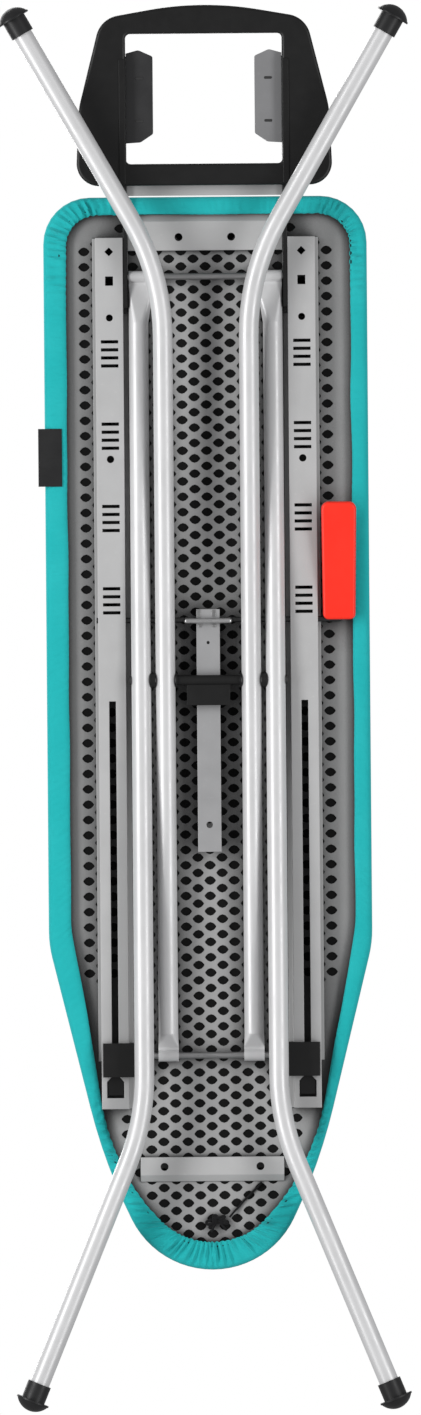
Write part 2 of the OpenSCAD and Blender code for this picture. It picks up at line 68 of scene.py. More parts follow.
def make_camera():
    """A long lens straight below the board, with the tail at the top of the picture."""
    picture_height = 1514.0
    aim = Vector((1.9, 1.1, 0.0)) * MM
    roll = 0.00827
    distance = 12.0
    subject_height = 0.04
    data = bpy.data.cameras.new("camera")
    data.sensor_width = 36.0
    data.lens = data.sensor_width * (distance + subject_height) / (picture_height * MM)
    data.clip_end = 100.0
    camera = bpy.data.objects.new("camera", data)
    right = Vector((1.0, roll, 0.0)).normalized()
    up = Vector((roll, -1.0, 0.0)).normalized()
    back = right.cross(up)
    turn = Matrix((right, up, back)).transposed()
    camera.matrix_world = Matrix.Translation(aim + back * distance) @ turn.to_4x4()
    bpy.context.scene.collection.objects.link(camera)
    bpy.context.scene.camera = camera


make_camera()


# --- Materials ---


class Shader:
    """Builds one node material around a Principled BSDF."""

    def __init__(self, name, color, roughness, metallic=0.0, **inputs):
        self.material = bpy.data.materials.new(name)
        self.material.use_nodes = True
        self.material.diffuse_color = (*color, 1.0)
        self.tree = self.material.node_tree
        self.bsdf = self.tree.nodes["Principled BSDF"]
        self.bsdf.inputs["Base Color"].default_value = (*color, 1.0)
        self.bsdf.inputs["Roughness"].default_value = roughness
        self.bsdf.inputs["Metallic"].default_value = metallic
        for key, value in inputs.items():
            self.bsdf.inputs[key.replace("_", " ")].default_value = value
        self.normal = None
        self.coordinates = self.node("ShaderNodeTexCoord").outputs["Object"]

    def node(self, kind, links=None, **values):
        made = self.tree.nodes.new(kind)
        for key, value in values.items():
            if key in made.inputs:
                made.inputs[key].default_value = value
            else:
                setattr(made, key, value)
        for key, socket in (links or {}).items():
            self.tree.links.new(socket, made.inputs[key])
        return made

    def noise(self, size_mm, detail=3.0, stretch=(1.0, 1.0, 1.0)):
        """Noise whose features are about size_mm across."""
        scale = tuple(s / (size_mm * MM) for s in stretch)
        mapped = self.node("ShaderNodeMapping", {"Vector": self.coordinates}, Scale=scale)
        made = self.node(
            "ShaderNodeTexNoise", {"Vector": mapped.outputs[0]}, Scale=1.0, Detail=detail
        )
        return made.outputs["Fac"]

    def ramp(self, value, low, high, bottom=0.0, top=1.0):
        made = self.node("ShaderNodeMapRange", {"Value": value})
        for key, number in zip(
            ("From Min", "From Max", "To Min", "To Max"), (low, high, bottom, top)
        ):
            made.inputs[key].default_value = number
        return made.outputs[0]

    def math(self, operation, first, second):
        made = self.node("ShaderNodeMath", operation=operation)
        for index, value in enumerate((first, second)):
            if isinstance(value, bpy.types.NodeSocket):
                self.tree.links.new(value, made.inputs[index])
            else:
                made.inputs[index].default_value = value
        return made.outputs[0]

    def tint(self, value, color):
        """Mixes the base colour towards another one by value."""
        base = self.bsdf.inputs["Base Color"]
        mix = self.node("ShaderNodeMix", {"Factor": value}, data_type="RGBA")
        if base.is_linked:
            self.tree.links.new(base.links[0].from_socket, mix.inputs["A"])
        else:
            mix.inputs["A"].default_value = base.default_value[:]
        mix.inputs["B"].default_value = (*color, 1.0)
        self.tree.links.new(mix.outputs["Result"], base)

    def rough(self, value):
        self.tree.links.new(value, self.bsdf.inputs["Roughness"])

    def soft_edges(self, radius_mm):
        """Rounds the shading of sharp pressed edges."""
        bevel = self.node("ShaderNodeBevel", samples=6, Radius=radius_mm * MM)
        self.use_normal(bevel.outputs[0])

    def bump(self, height, depth_mm):
        """Adds relief, on top of the rounded edges if there are any."""
        links = {"Height": height}
        if self.normal:
            links["Normal"] = self.normal
        made = self.node("ShaderNodeBump", links, Strength=1.0, Distance=depth_mm * MM)
        self.use_normal(made.outputs[0])

    def use_normal(self, socket):
        self.normal = socket
        self.tree.links.new(socket, self.bsdf.inputs["Normal"])


def shaded(shader, dark):
    """Painted shade: ambient occlusion that darkens the colour where neighbours crowd the
    surface.
    """
    reach_mm = 40.0
    unshaded, full = 0.92, 0.45
    hidden = shader.node("ShaderNodeAmbientOcclusion", samples=8, Distance=reach_mm * MM)
    shader.tint(shader.ramp(hidden.outputs["AO"], unshaded, full), dark)


def brighter(color, factor):
    return tuple(min(1.0, c * factor) for c in color)


def painted(name, color, roughness, metallic, edge=0.8, wear=1.25, peel=0.02, painted_shade=0.0):
    """Enamel on steel: orange peel, faint clouding, lighter wear and painted shade in the
    corners.
    """
    shader = Shader(name, color, roughness, metallic)
    shader.soft_edges(edge)
    cloud = shader.noise(60.0, 4.0)
    shader.tint(shader.ramp(cloud, 0.35, 0.7, 0.0, 0.35), brighter(color, 0.82))
    shader.tint(shader.ramp(shader.noise(4.0, 6.0), 0.62, 0.8, 0.0, 0.3), brighter(color, wear))
    shader.rough(shader.ramp(shader.noise(18.0), 0.3, 0.7, roughness * 0.85, roughness * 1.25))
    shader.bump(shader.noise(1.6, 2.0), peel)
    # painted shade in the corners and recesses, from ambient occlusion
    if painted_shade:
        shaded(shader, brighter(color, 1.0 - painted_shade))
    return shader.material


def steel(name, color, roughness, shaded_above=None):
    """Zinc-plated steel with fine marks along X. It can be darkened above a height: painted shade
    where it runs close under the panel.
    """
    shader = Shader(name, color, roughness, 1.0)
    shader.soft_edges(0.4)
    marks = shader.noise(0.5, 3.0, (0.04, 1.0, 1.0))
    shader.rough(shader.ramp(marks, 0.3, 0.7, roughness * 0.7, roughness * 1.5))
    shader.tint(shader.ramp(shader.noise(9.0, 5.0), 0.55, 0.75, 0.0, 0.4), brighter(color, 0.6))
    shader.bump(marks, 0.015)
    # painted shade: the colour darkens above the given height, in the shadow under the panel
    if shaded_above:
        split = shader.node("ShaderNodeSeparateXYZ", {"Vector": shader.coordinates})
        fade = 2.0
        height = shader.ramp(split.outputs["Z"], shaded_above * MM, (shaded_above + fade) * MM)
        shader.tint(height, brighter(color, 0.12))
    return shader.material


def moulded(name, color, roughness, grain=0.5, edge=0.6):
    """Moulded plastic or rubber with a fine grain."""
    shader = Shader(name, color, roughness, Specular_IOR_Level=0.3)
    shader.soft_edges(edge)
    shader.tint(shader.ramp(shader.noise(35.0), 0.4, 0.75, 0.0, 0.5), brighter(color, 1.3))
    shader.rough(shader.ramp(shader.noise(12.0), 0.3, 0.7, roughness * 0.88, roughness * 1.12))
    shader.bump(shader.noise(grain, 2.0), 0.02)
    return shader.material


def woven(name, color, pitch, depth, fuzz, light, dark):
    """Plain weave: warp and weft threads as crossed waves, with slubs and soft shading."""
    shader = Shader(name, color, 0.85, Sheen_Weight=fuzz, Specular_IOR_Level=0.25)
    threads = []
    for direction in ("X", "Y"):
        wave = shader.node(
            "ShaderNodeTexWave",
            {"Vector": shader.coordinates},
            bands_direction=direction,
            Scale=math.pi / (10.0 * pitch * MM),
            Distortion=0.6,
            Detail=1.0,
        )
        threads.append(wave.outputs["Fac"])
    weave = shader.math("MULTIPLY", *threads)
    shader.tint(shader.ramp(shader.noise(45.0, 4.0), 0.4, 0.7, 0.0, 0.5), light)
    shader.tint(shader.ramp(shader.noise(3.0, 5.0, (0.2, 1.0, 1.0)), 0.55, 0.8, 0.0, 0.25), dark)
    shader.tint(shader.ramp(weave, 0.0, 0.35, 0.3, 0.0), dark)
    shader.bump(weave, depth)
    return shader.material


TEAL = (0.012, 0.47, 0.48)
MATERIALS = {
    # painted shade darkens the panel and the silver parts where hem, rails and tubes crowd them
    "panel_paint": painted("panel_paint", (0.36, 0.36, 0.36), 0.5, 0.1, painted_shade=0.9),
    "silver_paint": painted("silver_paint", (0.47, 0.47, 0.47), 0.45, 0.1, edge=1.2, painted_shade=0.2),
    "tube_silver": painted(
        "tube_silver", (0.66, 0.66, 0.665), 0.38, 0.2, edge=0.5, wear=1.03, peel=0.004
    ),
    "bright_steel": steel("bright_steel", (0.37, 0.37, 0.37), 0.36),
    "dark_steel": painted("dark_steel", (0.04, 0.04, 0.04), 0.45, 0.4, edge=0.4),
    "black_paint": painted("black_paint", (0.006, 0.006, 0.006), 0.3, 0.0, edge=1.2, wear=3.0),
    "grey_paint": painted("grey_paint", (0.22, 0.22, 0.225), 0.45, 0.1),
    "black_plastic": moulded("black_plastic", (0.008, 0.008, 0.008), 0.4),
    "white_plastic": moulded("white_plastic", (0.72, 0.72, 0.70), 0.45),
    "red_plastic": moulded("red_plastic", (0.95, 0.030, 0.014), 0.36, grain=0.9, edge=1.5),
    "black_rubber": moulded("black_rubber", (0.014, 0.014, 0.0145), 0.42, grain=0.8),
    "cotton": woven("cotton", TEAL, 0.55, 0.12, 0.08, (0.025, 0.53, 0.54), (0.004, 0.34, 0.35)),
    "felt": woven("felt", (0.002, 0.002, 0.002), 1.4, 0.3, 0.0, (0.004, 0.004, 0.004), (0, 0, 0)),
    "label_cloth": woven(
        "label_cloth", (0.014, 0.014, 0.015), 0.4, 0.1, 0.2, (0.03, 0.03, 0.03), (0, 0, 0)
    ),
    "black_cord": woven(
        "black_cord", (0.006, 0.006, 0.007), 0.8, 0.3, 0.05, (0.014, 0.014, 0.014), (0, 0, 0)
    ),
}

# three pieces that don't wear their slot's finish, to bring them nearer to the photograph: the
# left plate wears a much darker copy of grey paint, painted shade; the rod is darkened near the
# panel, painted shade; the rack wears a darker steel, with painted shade in its corners
SHADED_PLATE = painted("grey_paint_shaded", (0.022, 0.022, 0.023), 0.45, 0.1)
ROD_STEEL = steel("rod_steel", (0.62, 0.62, 0.62), 0.28, shaded_above=PANEL_Z - 17.0)
RACK_STEEL = painted("rack_steel", (0.36, 0.36, 0.365), 0.4, 0.25, painted_shade=0.2)
SPECIAL = {
    "iron_rest_plate_left": SHADED_PLATE,
    "lever_rod": ROD_STEEL,
    "lock_rack": RACK_STEEL,
}

for row in frame["record"]["subparts"]:
    finish = SPECIAL.get(row["node"], MATERIALS[row["material_slot"]])
    for material_slot in frame["nodes"][row["node"]].material_slots:
        material_slot.material = finish


# --- Outlines, as in the CAD source ---


def arc(centre, radius, start, stop, steps):
    turns = [math.radians(start + (stop - start) * i / steps) for i in range(steps + 1)]
    return [(centre[0] + radius * math.cos(a), centre[1] + radius * math.sin(a)) for a in turns]


def half_outline(shape, inset):
    """One side of the board from the tail corner to the nose."""
    half_width, tail, tail_r, taper, knee_angle, bow_y, bow_r, bow_angle = shape
    knee_r = 120.0
    knee, nose = math.radians(knee_angle), math.radians(knee_angle + bow_angle)
    knee_c = (half_width - knee_r, taper)
    knee_end = (knee_c[0] + knee_r * math.cos(knee), knee_c[1] + knee_r * math.sin(knee))
    run = (bow_y - knee_end[1]) / math.cos(knee)
    bow_c = (
        knee_end[0] - run * math.sin(knee) - bow_r * math.cos(knee),
        knee_end[1] + run * math.cos(knee) - bow_r * math.sin(knee),
    )
    nose_r = bow_r + bow_c[0] / math.cos(nose)
    nose_c = (
        bow_c[0] + (bow_r - nose_r) * math.cos(nose),
        bow_c[1] + (bow_r - nose_r) * math.sin(nose),
    )
    tail_c = (half_width - tail_r, tail + tail_r)
    return (
        arc(tail_c, tail_r - inset, -90.0, 0.0, 8)
        + arc(knee_c, knee_r - inset, 0.0, knee_angle, 4)
        + arc(bow_c, bow_r - inset, knee_angle, knee_angle + bow_angle, 6)
        + arc(nose_c, nose_r - inset, knee_angle + bow_angle, 90.0, 12)
    )


def outline(shape, inset=0.0):
    half = half_outline(shape, inset)
    return half + [(-x, y) for x, y in reversed(half[:-1])]


def rounded(corners, steps=6):
    """A polygon with rounded corners, given as (x, y, radius)."""
    points = []
    for i, (x, y, radius) in enumerate(corners):
        here = Vector((x, y))
        to_before = (Vector(corners[i - 1][:2]) - here).normalized()
        to_after = (Vector(corners[(i + 1) % len(corners)][:2]) - here).normalized()
        half = to_before.angle(to_after) / 2
        centre = here + (to_before + to_after).normalized() * radius / math.sin(half)
        first = here + to_before * radius / math.tan(half) - centre
        last = here + to_after * radius / math.tan(half) - centre
        for k in range(steps + 1):
            turn = first.slerp(last, k / steps)
            points.append(tuple(centre + turn.normalized() * radius))
    return points


def rectangle(x0, y0, x1, y1, radius):
    """The corners of a rectangle, for rounded()."""
    return [(x0, y0, radius), (x1, y0, radius), (x1, y1, radius), (x0, y1, radius)]


# half width, tail, tail radius, start of the taper, its angle, then the nose's bow: start,
# radius and angle
BOARD = (BOARD_WIDTH / 2, TAIL_Y, 50.0, 240.0, 13.8, 430.0, 600.0, 12.2)
HEM = (BOARD_WIDTH / 2 - 21, TAIL_Y + 19, 34.0, 225.0, 10.0, 430.0, 230.0, 34.5)
EDGE_GAP = 2.5
HEM_SHIFT = 3.0  # how far the hem's inner edge lies towards the lever side, except at the nose


# --- Making pieces ---


def clamp(value):
    return max(0.0, min(1.0, value))


def z(depth):
    return PANEL_Z - depth


def depth_of(height):
    """The depth in millimetres of a height in metres."""
    return PANEL_Z - height / MM


def finished(name, mesh, body, slot, smooth=True):
    """Links a mesh as a piece that rides on a body with the finish of a material slot."""
    piece = bpy.data.objects.new(name, mesh)
    bpy.context.scene.collection.objects.link(piece)
    mesh.materials.clear()
    mesh.materials.append(MATERIALS[slot])
    if smooth:
        mesh.shade_smooth()
        mesh.set_sharp_from_angle(angle=SHARP_ANGLE)
    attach(piece, body)
    return piece


def mesh_from(name, points, faces):
    """A mesh in metres from points in millimetres."""
    mesh = bpy.data.meshes.new(name)
    mesh.from_pydata([Vector(p) * MM for p in points], [], faces)
    shape = bmesh.new()
    shape.from_mesh(mesh)
    bmesh.ops.remove_doubles(shape, verts=shape.verts, dist=SAME_POINT)
    bmesh.ops.recalc_face_normals(shape, faces=shape.faces)
    shape.to_mesh(mesh)
    shape.free()
    return mesh


def baked(name, curve):
    """The mesh that a curve makes."""
    holder = bpy.data.objects.new(name, curve)
    bpy.context.scene.collection.objects.link(holder)
    graph = bpy.context.evaluated_depsgraph_get()
    mesh = bpy.data.meshes.new_from_object(holder.evaluated_get(graph))
    bpy.data.objects.remove(holder)
    bpy.data.curves.remove(curve)
    mesh.name = name
    return mesh


def blank(name, loops, depth, thick, bevel=0.0):
    """A flat blank with holes: the first loop is the outline. depth is its upper face."""
    curve = bpy.data.curves.new(name, "CURVE")
    curve.dimensions = "2D"
    curve.fill_mode = "BOTH"
    curve.extrude = (thick / 2 - bevel) * MM
    curve.bevel_depth = bevel * MM
    curve.bevel_resolution = 3
    curve.offset = -bevel * MM
    for loop in loops:
        spline = curve.splines.new("POLY")
        spline.points.add(len(loop) - 1)
        for point, (x, y) in zip(spline.points, loop):
            point.co = (x * MM, y * MM, 0.0, 1.0)
        spline.use_cyclic_u = True
    mesh = baked(name, curve)
    mesh.transform(Matrix.Translation((0.0, 0.0, (z(depth) - thick / 2) * MM)))
    return mesh


def tube(name, points, radius, closed=False, sides=3):
    """A round cord or wire through points in millimetres."""
    curve = bpy.data.curves.new(name, "CURVE")
    curve.dimensions = "3D"
    curve.bevel_depth = radius * MM
    curve.bevel_resolution = sides
    curve.use_fill_caps = not closed
    spline = curve.splines.new("NURBS")
    spline.points.add(len(points) - 1)
    for point, place in zip(spline.points, points):
        point.co = (*(Vector(place) * MM), 1.0)
    spline.use_cyclic_u = closed
    spline.use_endpoint_u = not closed
    spline.order_u = 4
    spline.resolution_u = 6
    return baked(name, curve)


def joined(name, meshes):
    shape = bmesh.new()
    for mesh in meshes:
        shape.from_mesh(mesh)
        bpy.data.meshes.remove(mesh)
    made = bpy.data.meshes.new(name)
    shape.to_mesh(made)
    shape.free()
    return made


# --- Perforated panel ---


def make_panel():
    """A steel sheet with lens-shaped holes in staggered columns."""
    thick = 1.0
    pitch_x, pitch_y = 13.0, 16.48
    hole_w, hole_h = 12.4, 9.6
    first_y = -109.9
    side_from, side_to = -504.0, 299.0
    columns, full_columns = 10, 8  # to each side; the outer ones stop at side_from and side_to
    first_row, last_row = -27, 41
    margin = 16.0
    sides, pinch = 12, 1.7
    lens = []
    for k in range(sides):
        across, up = math.cos(2 * math.pi * k / sides), math.sin(2 * math.pi * k / sides)
        lens.append((across * hole_w / 2, math.copysign(abs(up) ** pinch, up) * hole_h / 2))
    keep = half_outline(BOARD, EDGE_GAP + margin)

    def half_width(y):
        """The half width left inside the margin at y."""
        for (x0, y0), (x1, y1) in zip(keep, keep[1:]):
            if y0 <= y <= y1 and y1 > y0:
                return x0 + (x1 - x0) * (y - y0) / (y1 - y0)
        return 0.0

    loops = [outline(BOARD, EDGE_GAP)]
    for column in range(-columns, columns + 1):
        shift = pitch_y / 2 if column % 2 else 0.0
        for row in range(first_row, last_row + 1):
            x, y = column * pitch_x, first_y + shift + row * pitch_y
            inside = abs(x) + hole_w / 2 < half_width(y - hole_h / 2)
            inside = inside and abs(x) + hole_w / 2 < half_width(y + hole_h / 2)
            if inside and (abs(column) < full_columns or side_from <= y <= side_to):
                loops.append([(x + dx, y + dy) for dx, dy in lens])
    mesh = blank("perforated_panel", loops, -thick, thick)
    panel = finished("perforated_panel", mesh, "board", "panel_paint", smooth=False)
    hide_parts("mesh_panel")


make_panel()


# --- Cover, pad, label and drawstring ---

COVER_TOP = -8.5


def dense(points, counts):
    """A closed loop with each side cut into a number of steps."""
    made = []
    for i, count in enumerate(counts):
        first, last = Vector(points[i]), Vector(points[(i + 1) % len(points)])
        made += [first.lerp(last, k / count) for k in range(count)]
    return made


def gather(x, y):
    """How strongly the cloth is gathered: full round the nose and at the tail corners."""
    least = 0.14
    nose_y, nose_run = 395.0, 70.0
    corner_x, corner_y, corner_reach = 145.0, -505.0, 62.0
    nose = clamp((y - nose_y) / nose_run)
    tail = clamp(1.5 - math.hypot(abs(x) - corner_x, y - corner_y) / corner_reach)
    return least + (1 - least) * max(nose, tail)


def make_cover():
    """The cotton cover as one sheet: the hem, the edge and the top.

    Each step of the profile is (share of the hem's width, depth, share of the gathers). The
    top's rows follow, as shares of the way to the middle.
    """
    step = 1.9
    fold_width = 8.5
    thick = 0.6
    nose_y = 470.0
    shift_from, shift_run = 480.0, 150.0
    fold_height, slack_height = 3.0, 1.1
    fold_sway, slack_sway = 1.1, 1.3
    outer = outline(BOARD)
    inner = outline(HEM)
    sizes = [
        max(1, round((Vector(outer[(i + 1) % len(outer)]) - Vector(p)).length / step))
        for i, p in enumerate(outer)
    ]
    outer, inner = dense(outer, sizes), dense(inner, sizes)
    profile = [
        (0.03, 7.0, 0.8), (0.0, 8.0, 0.9), (0.015, 8.9, 1.0), (0.07, 9.8, 1.0),
        (0.15, 10.5, 1.0), (0.24, 10.9, 1.0), (0.34, 10.9, 1.0), (0.44, 10.9, 1.0),
        (0.54, 10.8, 0.95), (0.64, 10.6, 0.85), (0.74, 10.2, 0.7), (0.83, 9.5, 0.5),
        (0.90, 8.5, 0.35), (0.95, 7.0, 0.2), (0.985, 5.0, 0.1), (1.0, 2.5, 0.05),
        (1.0, -1.0, 0.0), (0.995, -4.0, 0.0), (0.97, -6.4, 0.0), (0.90, -7.9, 0.0),
        (0.78, -8.4, 0.0),
    ]
    inward = (0.12, 0.3, 0.5, 0.72, 0.9, 1.0)
    count = len(outer)
    middle = [Vector((0.0, max(TAIL_Y + BOARD_WIDTH / 2, min(nose_y, a.y)))) for a in outer]
    points, faces = [], []
    travel = 0.0
    for i in range(count):
        a, b = inner[i], outer[i]
        a = a + Vector((HEM_SHIFT * clamp((shift_from - a.y) / shift_run), 0.0))
        if i:
            travel += (b - outer[i - 1]).length
        pull = gather(b.x, b.y)
        slack = noise.noise(Vector((travel / 70.0, 8.0, 0.0)))
        along = b - a
        for share, depth, gathered in profile:
            # the folds run across the hem and bend a little on the way
            bend = 2.6 * noise.noise(Vector((travel / 34.0, 4.0, share * 0.6)))
            fold = 0.5 - abs(math.sin(math.pi * travel / fold_width + bend))
            fold += 0.9 * noise.noise(Vector((travel / 4.5, share * 1.2, 5.0)))
            lift = gathered * (fold_height * pull * fold + slack_height * slack)
            sway = (fold_sway * pull * fold + slack_sway * slack) * (1 - share) * gathered
            place = a + along * share + along.normalized() * sway
            points.append((place.x, place.y, z(depth + lift)))
        start = a + along * profile[-1][0]
        for fraction in inward:
            place = start.lerp(middle[i], fraction)
            ripple = 0.35 * noise.noise(Vector((place.x / 60.0, place.y / 60.0, 2.0))) - 0.2
            points.append((place.x, place.y, z(COVER_TOP) + ripple))
    rows = len(profile) + len(inward)
    for i in range(count):
        j = (i + 1) % count
        for k in range(rows - 1):
            faces.append((i * rows + k, j * rows + k, j * rows + k + 1, i * rows + k + 1))
    mesh = mesh_from("cotton_cover", points, faces)
    cover = finished("cotton_cover", mesh, "board", "cotton")
    solid = cover.modifiers.new("cloth", "SOLIDIFY")
    solid.thickness = thick * MM
    solid.offset = -1.0
    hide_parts("cover")


def make_pad():
    """The felt under the cover, with a rounded edge."""
    thick, top, edge_gap = 6.0, -7.0, EDGE_GAP + 0.5
    mesh = blank("felt_underlay", [outline(BOARD, edge_gap)], top, thick, bevel=1.6)
    pad = finished("felt_underlay", mesh, "board", "felt")
    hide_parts("felt_pad")


def make_label():
    """The blank woven label: a tape on the hem, a little curled, with a line of stitches."""
    low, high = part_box("woven_label")
    x0, x1, y0, y1 = low.x / MM, high.x / MM, low.y / MM, high.y / MM
    depth = depth_of(high.z)
    thick = 0.6
    columns, rows = 14, 30
    points, faces = [], []
    for side in (0.0, thick):
        for i in range(columns + 1):
            for k in range(rows + 1):
                u, v = i / columns, k / rows
                x, y = x0 + (x1 - x0) * u, y0 + (y1 - y0) * v
                curl = 1.0 + 0.8 * (1 - u) ** 3 + 0.35 * math.sin(v * 9.0) * (1 - u)
                curl += 0.8 * u * (1 - u)
                points.append((x, y, z(depth + side + curl)))
    row = rows + 1
    half = (columns + 1) * row
    for layer in (0, half):
        for i in range(columns):
            for k in range(rows):
                a = layer + i * row + k
                faces.append((a, a + row, a + row + 1, a + 1))
    for k in range(rows):
        for a in (k, columns * row + k):
            faces.append((a, a + 1, a + 1 + half, a + half))
    for i in range(columns):
        for a in (i * row, i * row + rows):
            faces.append((a, a + row, a + row + half, a + half))
    label = finished("woven_tag", mesh_from("woven_tag", points, faces), "board", "label_cloth")
    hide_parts("woven_label")
    seam = []
    stitches, end_margin, stitch_share = 20, 1.5, 0.62
    side_margin, reach, thread = 1.2, 1.1, 0.3
    run = y1 - y0 - 2 * end_margin
    x = x1 - side_margin
    inside, outside = z(depth + thick), z(depth + reach)
    for k in range(stitches):
        a = y0 + end_margin + run * k / stitches
        b = a + run / stitches * stitch_share
        path = [(x, a, inside), (x, a, outside), (x, b, outside), (x, b, inside)]
        seam.append(tube("stitch", path, thread, sides=1))
    finished("tag_stitching", joined("tag_stitching", seam), "board", "white_plastic")


# the loose end, from 3 or 4 mm beside the bow to the edge of the nose cross plate, as x, y
# and depth. A real one comes out of the knot.
DRAWSTRING_END = [
    (18.0, 548.0, 5.4), (20.0, 545.6, 4.7), (22.0, 543.1, 3.8), (24.2, 540.8, 2.9),
    (26.6, 538.5, 2.2), (29.0, 536.0, 1.8), (31.0, 533.2, 1.6), (33.2, 530.6, 1.5),
    (35.9, 528.4, 1.5), (38.6, 526.0, 1.5), (41.0, 523.4, 1.5), (43.2, 520.8, 1.5),
    (45.8, 518.4, 1.5), (48.4, 516.0, 1.5), (50.6, 513.4, 1.5), (52.5, 510.8, 1.5),
]


def make_drawstring():
    """The cord's loop in the hem, its bow at the nose and its loose end."""
    thick, doubled, in_hem = 1.1, 1.5, 0.9
    loop_depth, loop_inset = 8.0, -4.5
    loop = [(x, y, z(loop_depth)) for x, y in outline(HEM, loop_inset)]
    ring = tube("hem_cord", loop, in_hem, closed=True, sides=2)
    loop_piece = finished("hem_cord", ring, "board", "black_cord")
    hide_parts("drawstring_loop")
    knot = Vector((5.0, 551.0, z(6.0)))
    lobes = [
        (-13.0, 3.5, 2.6), (-9.0, 9.0, 1.8), (12.0, 3.0, 1.8), (-4.0, -5.0, 2.4), (8.0, -4.0, 1.6)
    ]
    parts = []
    for n, (dx, dy, width) in enumerate(lobes):
        tip = Vector((dx, dy, 0.6 * math.sin(n * 2.1)))
        across = Vector((-dy, dx, 0.0)).normalized() * width
        lift = Vector((0.0, 0.0, 1.2 - 0.6 * n))
        parts.append(tube("lobe", [
            knot, knot + tip * 0.35 + across * 0.7 + lift, knot + tip * 0.8 + across,
            knot + tip, knot + tip * 0.8 - across, knot + tip * 0.35 - across * 0.7 - lift, knot,
        ], doubled))
    wraps = []
    steps, steps_per_turn = 26, 8
    for k in range(steps):
        a = 2 * math.pi * k / steps_per_turn
        around = (3.6 * math.cos(a) + 0.14 * k - 2.0, 2.9 * math.sin(a), 2.0 * math.sin(a + 1.1))
        wraps.append(knot + Vector(around))
    parts.append(tube("wraps", wraps, doubled))
    for dx, dy in ((-7.0, 12.5), (9.5, 11.0)):
        run = [knot, knot + Vector((dx * 0.4, dy * 0.4, -0.5)), knot + Vector((dx, dy, -2.6))]
        parts.append(tube("lead", run, thick))
    bow = finished("drawstring_knot", joined("drawstring_knot", parts), "board", "black_cord")
    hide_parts("drawstring_bow")
    path = [Vector((x, y, z(depth))) * MM for x, y, depth in DRAWSTRING_END]
    end = tube("drawstring_end", [p / MM for p in path], thick)
    end_piece = finished("drawstring_end", end, "board", "black_cord")
    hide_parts("drawstring_tail")


make_cover()
make_pad()
make_label()
make_drawstring()


# --- Iron rest ---


def make_iron_rest():
    """The moulded frame with its rolled edges, and small marks on it and on its plates."""
    half = [(110.0, -737.5, 28.0), (134.0, -642.0, 80.0), (138.0, -558.3, 24.0)]
    corners = [(0.0, -756.6, 345.0)] + half + [(-x, y, r) for x, y, r in reversed(half)]
    opening = rectangle(-83.7, -720.9, 83.7, -581.5, 5.0)
    low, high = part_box("iron_rest_frame")
    depth, thick = depth_of(high.z), (high.z - low.z) / MM
    loops = [rounded(corners, 14), rounded(opening, 5)]
    mesh = blank("rest_moulding", loops, depth, thick, bevel=3.2)
    rest = finished("rest_moulding", mesh, "board", "black_plastic")
    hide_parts("iron_rest_frame")
    # light lines beside the opening, read as ribs under the moulding: a guess
    ribs = []
    near, far, y0, y1 = 84.4, 91.0, -694.0, -560.0
    sunk, rib_thick = 0.4, 1.6
    for side in (-1, 1):
        rib = [(side * near, y0, 1.0), (side * far, y0, 2.5),
               (side * far, y1, 2.5), (side * near, y1, 1.0)]
        if side < 0:
            rib.reverse()
        ribs.append(blank("rib", [rounded(rib, 4)], depth + thick - sunk, rib_thick, bevel=0.5))
    finished("rest_ribs", joined("rest_ribs", ribs), "board", "black_plastic")
    # short dashes on the plates, read as small raised bars: a guess
    bars = []
    half_length, half_width, corner, bar_thick = 4.2, 1.4, 1.2, 0.9
    for x in (-69.0, 69.0):
        for y in (-673.5, -627.5):
            x0, x1, y0, y1 = x - half_length, x + half_length, y - half_width, y + half_width
            bar = rounded(rectangle(x0, y0, x1, y1, corner), 4)
            bars.append(blank("bar", [bar], depth - sunk, bar_thick, bevel=0.3))
    finished("plate_buttons", joined("plate_buttons", bars), "board", "dark_steel")


make_iron_rest()


# --- Height lever's handle ---


def make_handle():
    """The handle as a soft-edged moulding, with the boss that holds the rod."""
    tilt = math.radians(9.0)
    thick = 10.0
    grip_depth, boss_depth = 3.5, -5.0
    x0, width, length = 122.0, 37.5, 127.0
    corners = [(1.5, length, 6.0), (0.0, 0.0, 8.0), (width, 0.0, 8.0), (width - 1.5, length, 6.0)]
    edge = [(x0 + x, y - length - 1.0) for x, y in rounded(corners, 8)]
    grip = blank("grip", [edge], 0, thick, bevel=2.6)
    grip.transform(Matrix.Translation((0.0, 0.0, (-grip_depth - PANEL_Z) * MM)))
    boss_corners = [(x0 + 9.0, -74.0, 4.0), (x0 + 29.0, -74.0, 4.0), (x0 + 29.0, -2.0, 3.0),
                    (x0 + 9.0, -2.0, 3.0)]
    boss = blank("boss", [rounded(boss_corners)], 0, thick, bevel=1.2)
    boss.transform(Matrix.Translation((0.0, 0.0, (-boss_depth - PANEL_Z) * MM)))
    mesh = joined("lever_grip", [grip, boss])
    place = Matrix.Translation((0.0, ROD_Y * MM, z(ROD_DEPTH) * MM))
    mesh.transform(place @ Matrix.Rotation(tilt, 4, "X"))
    handle = finished("lever_grip", mesh, "height_lever", "red_plastic")
    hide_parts("lever_handle")


def make_rack_tabs():
    """Bright spots beside the crank, read as small plates on the rack's face: a guess."""
    width, corner, thick, raised = 4.6, 1.4, 0.8, 0.3
    places = (
        (-12.2, -104.0, -95.6), (4.0, -103.6, -95.8), (4.2, -88.6, -84.8), (-10.6, -88.6, -84.9)
    )
    face = depth_of(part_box("lock_rack")[0].z)
    tabs = []
    for x, y0, y1 in places:
        corners = rectangle(x, y0, x + width, y1, corner)
        tabs.append(blank("tab", [rounded(corners, 5)], face - raised, thick, bevel=0.35))
    finished("rack_tabs", joined("rack_tabs", tabs), "lock_rack", "bright_steel")


make_handle()
make_rack_tabs()


# --- Floor, light and background ---


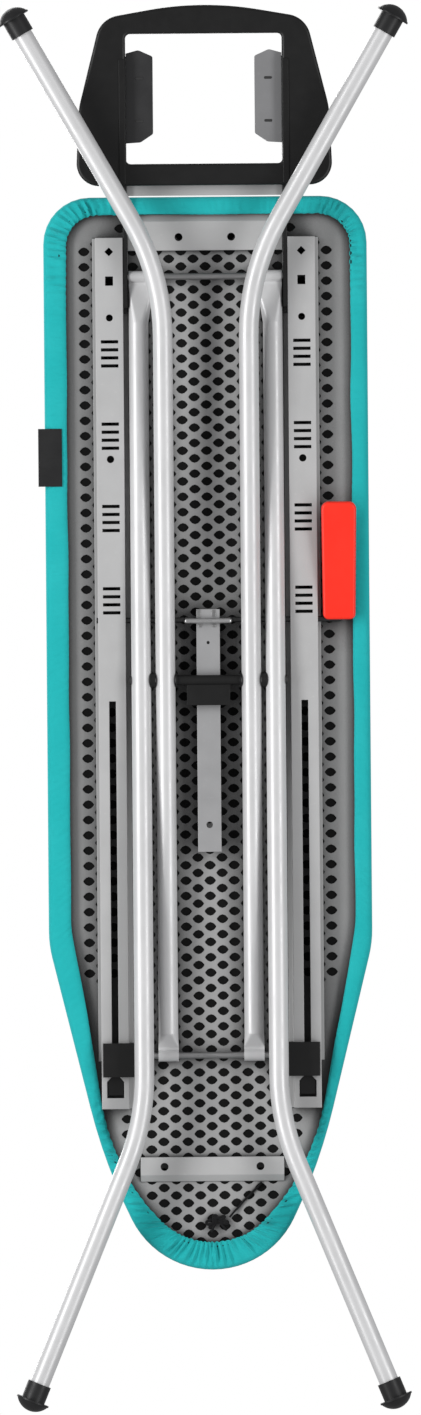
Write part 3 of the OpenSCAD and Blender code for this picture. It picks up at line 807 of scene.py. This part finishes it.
def make_floor():
    """A pale floor, partly clear from above and fully clear from below.

    The legs open downwards from the board, which stays in place, so at the open poses they
    reach through the floor and show in it.
    """
    opacity = 0.4
    gap = 0.3
    size = 30.0
    mesh = bpy.data.meshes.new("floor")
    mesh.from_pydata([(-size, -size, 0), (size, -size, 0), (size, size, 0), (-size, size, 0)],
                     [], [(0, 1, 2, 3)])
    shader = Shader("floor", (0.82, 0.82, 0.82), 0.8)
    shader.tint(shader.ramp(shader.noise(400.0), 0.4, 0.7, 0.0, 0.2), (0.78, 0.78, 0.78))
    nodes, links = shader.tree.nodes, shader.tree.links
    clear = nodes.new("ShaderNodeBsdfTransparent")
    mix = nodes.new("ShaderNodeMixShader")
    back = nodes.new("ShaderNodeNewGeometry")
    clearness = shader.ramp(back.outputs["Backfacing"], 0.0, 1.0, 1.0 - opacity, 1.0)
    links.new(clearness, mix.inputs[0])
    links.new(shader.bsdf.outputs[0], mix.inputs[1])
    links.new(clear.outputs[0], mix.inputs[2])
    links.new(mix.outputs[0], nodes["Material Output"].inputs["Surface"])
    mesh.materials.append(shader.material)
    floor = bpy.data.objects.new("floor", mesh)
    floor.location.z = -gap * MM
    bpy.context.scene.collection.objects.link(floor)
    floor.visible_shadow = False
    floor.visible_diffuse = False
    floor.visible_glossy = False
    floor.visible_transmission = False


def area_light(name, place, size, power):
    """A rectangle of light aimed at the origin. The two low ones have their long side along Y."""
    data = bpy.data.lights.new(name, "AREA")
    data.shape = "RECTANGLE"
    data.size, data.size_y = size
    data.energy = power
    light = bpy.data.objects.new(name, data)
    light.location = place
    light.rotation_euler = (-Vector(place)).to_track_quat("-Z", "Y").to_euler()
    light.visible_camera = False
    bpy.context.scene.collection.objects.link(light)


def make_world():
    """White to the camera, and grey to everything that lights the object."""
    world = bpy.data.worlds.new("studio")
    world.use_nodes = True
    nodes, links = world.node_tree.nodes, world.node_tree.links
    shown, fill = nodes["Background"], nodes.new("ShaderNodeBackground")
    shown.inputs["Color"].default_value = (1.0, 1.0, 1.0, 1.0)
    fill.inputs["Color"].default_value = (0.36, 0.36, 0.365, 1.0)
    path, mix = nodes.new("ShaderNodeLightPath"), nodes.new("ShaderNodeMixShader")
    links.new(path.outputs["Is Camera Ray"], mix.inputs[0])
    links.new(fill.outputs[0], mix.inputs[1])
    links.new(shown.outputs[0], mix.inputs[2])
    links.new(mix.outputs[0], nodes["World Output"].inputs["Surface"])
    bpy.context.scene.world = world


make_floor()
make_world()
area_light("left_below", (-2.5, -0.2, -2.0), (3.6, 0.9), 88.0)
area_light("right_below", (2.3, 0.2, -2.3), (3.6, 0.9), 54.0)
area_light("above", (-1.2, -1.0, 3.0), (3.0, 3.0), 110.0)

scene = bpy.context.scene
scene.render.engine = "CYCLES"
scene.view_settings.view_transform = "Standard"
scene.view_settings.look = "None"
scene.render.film_transparent = False
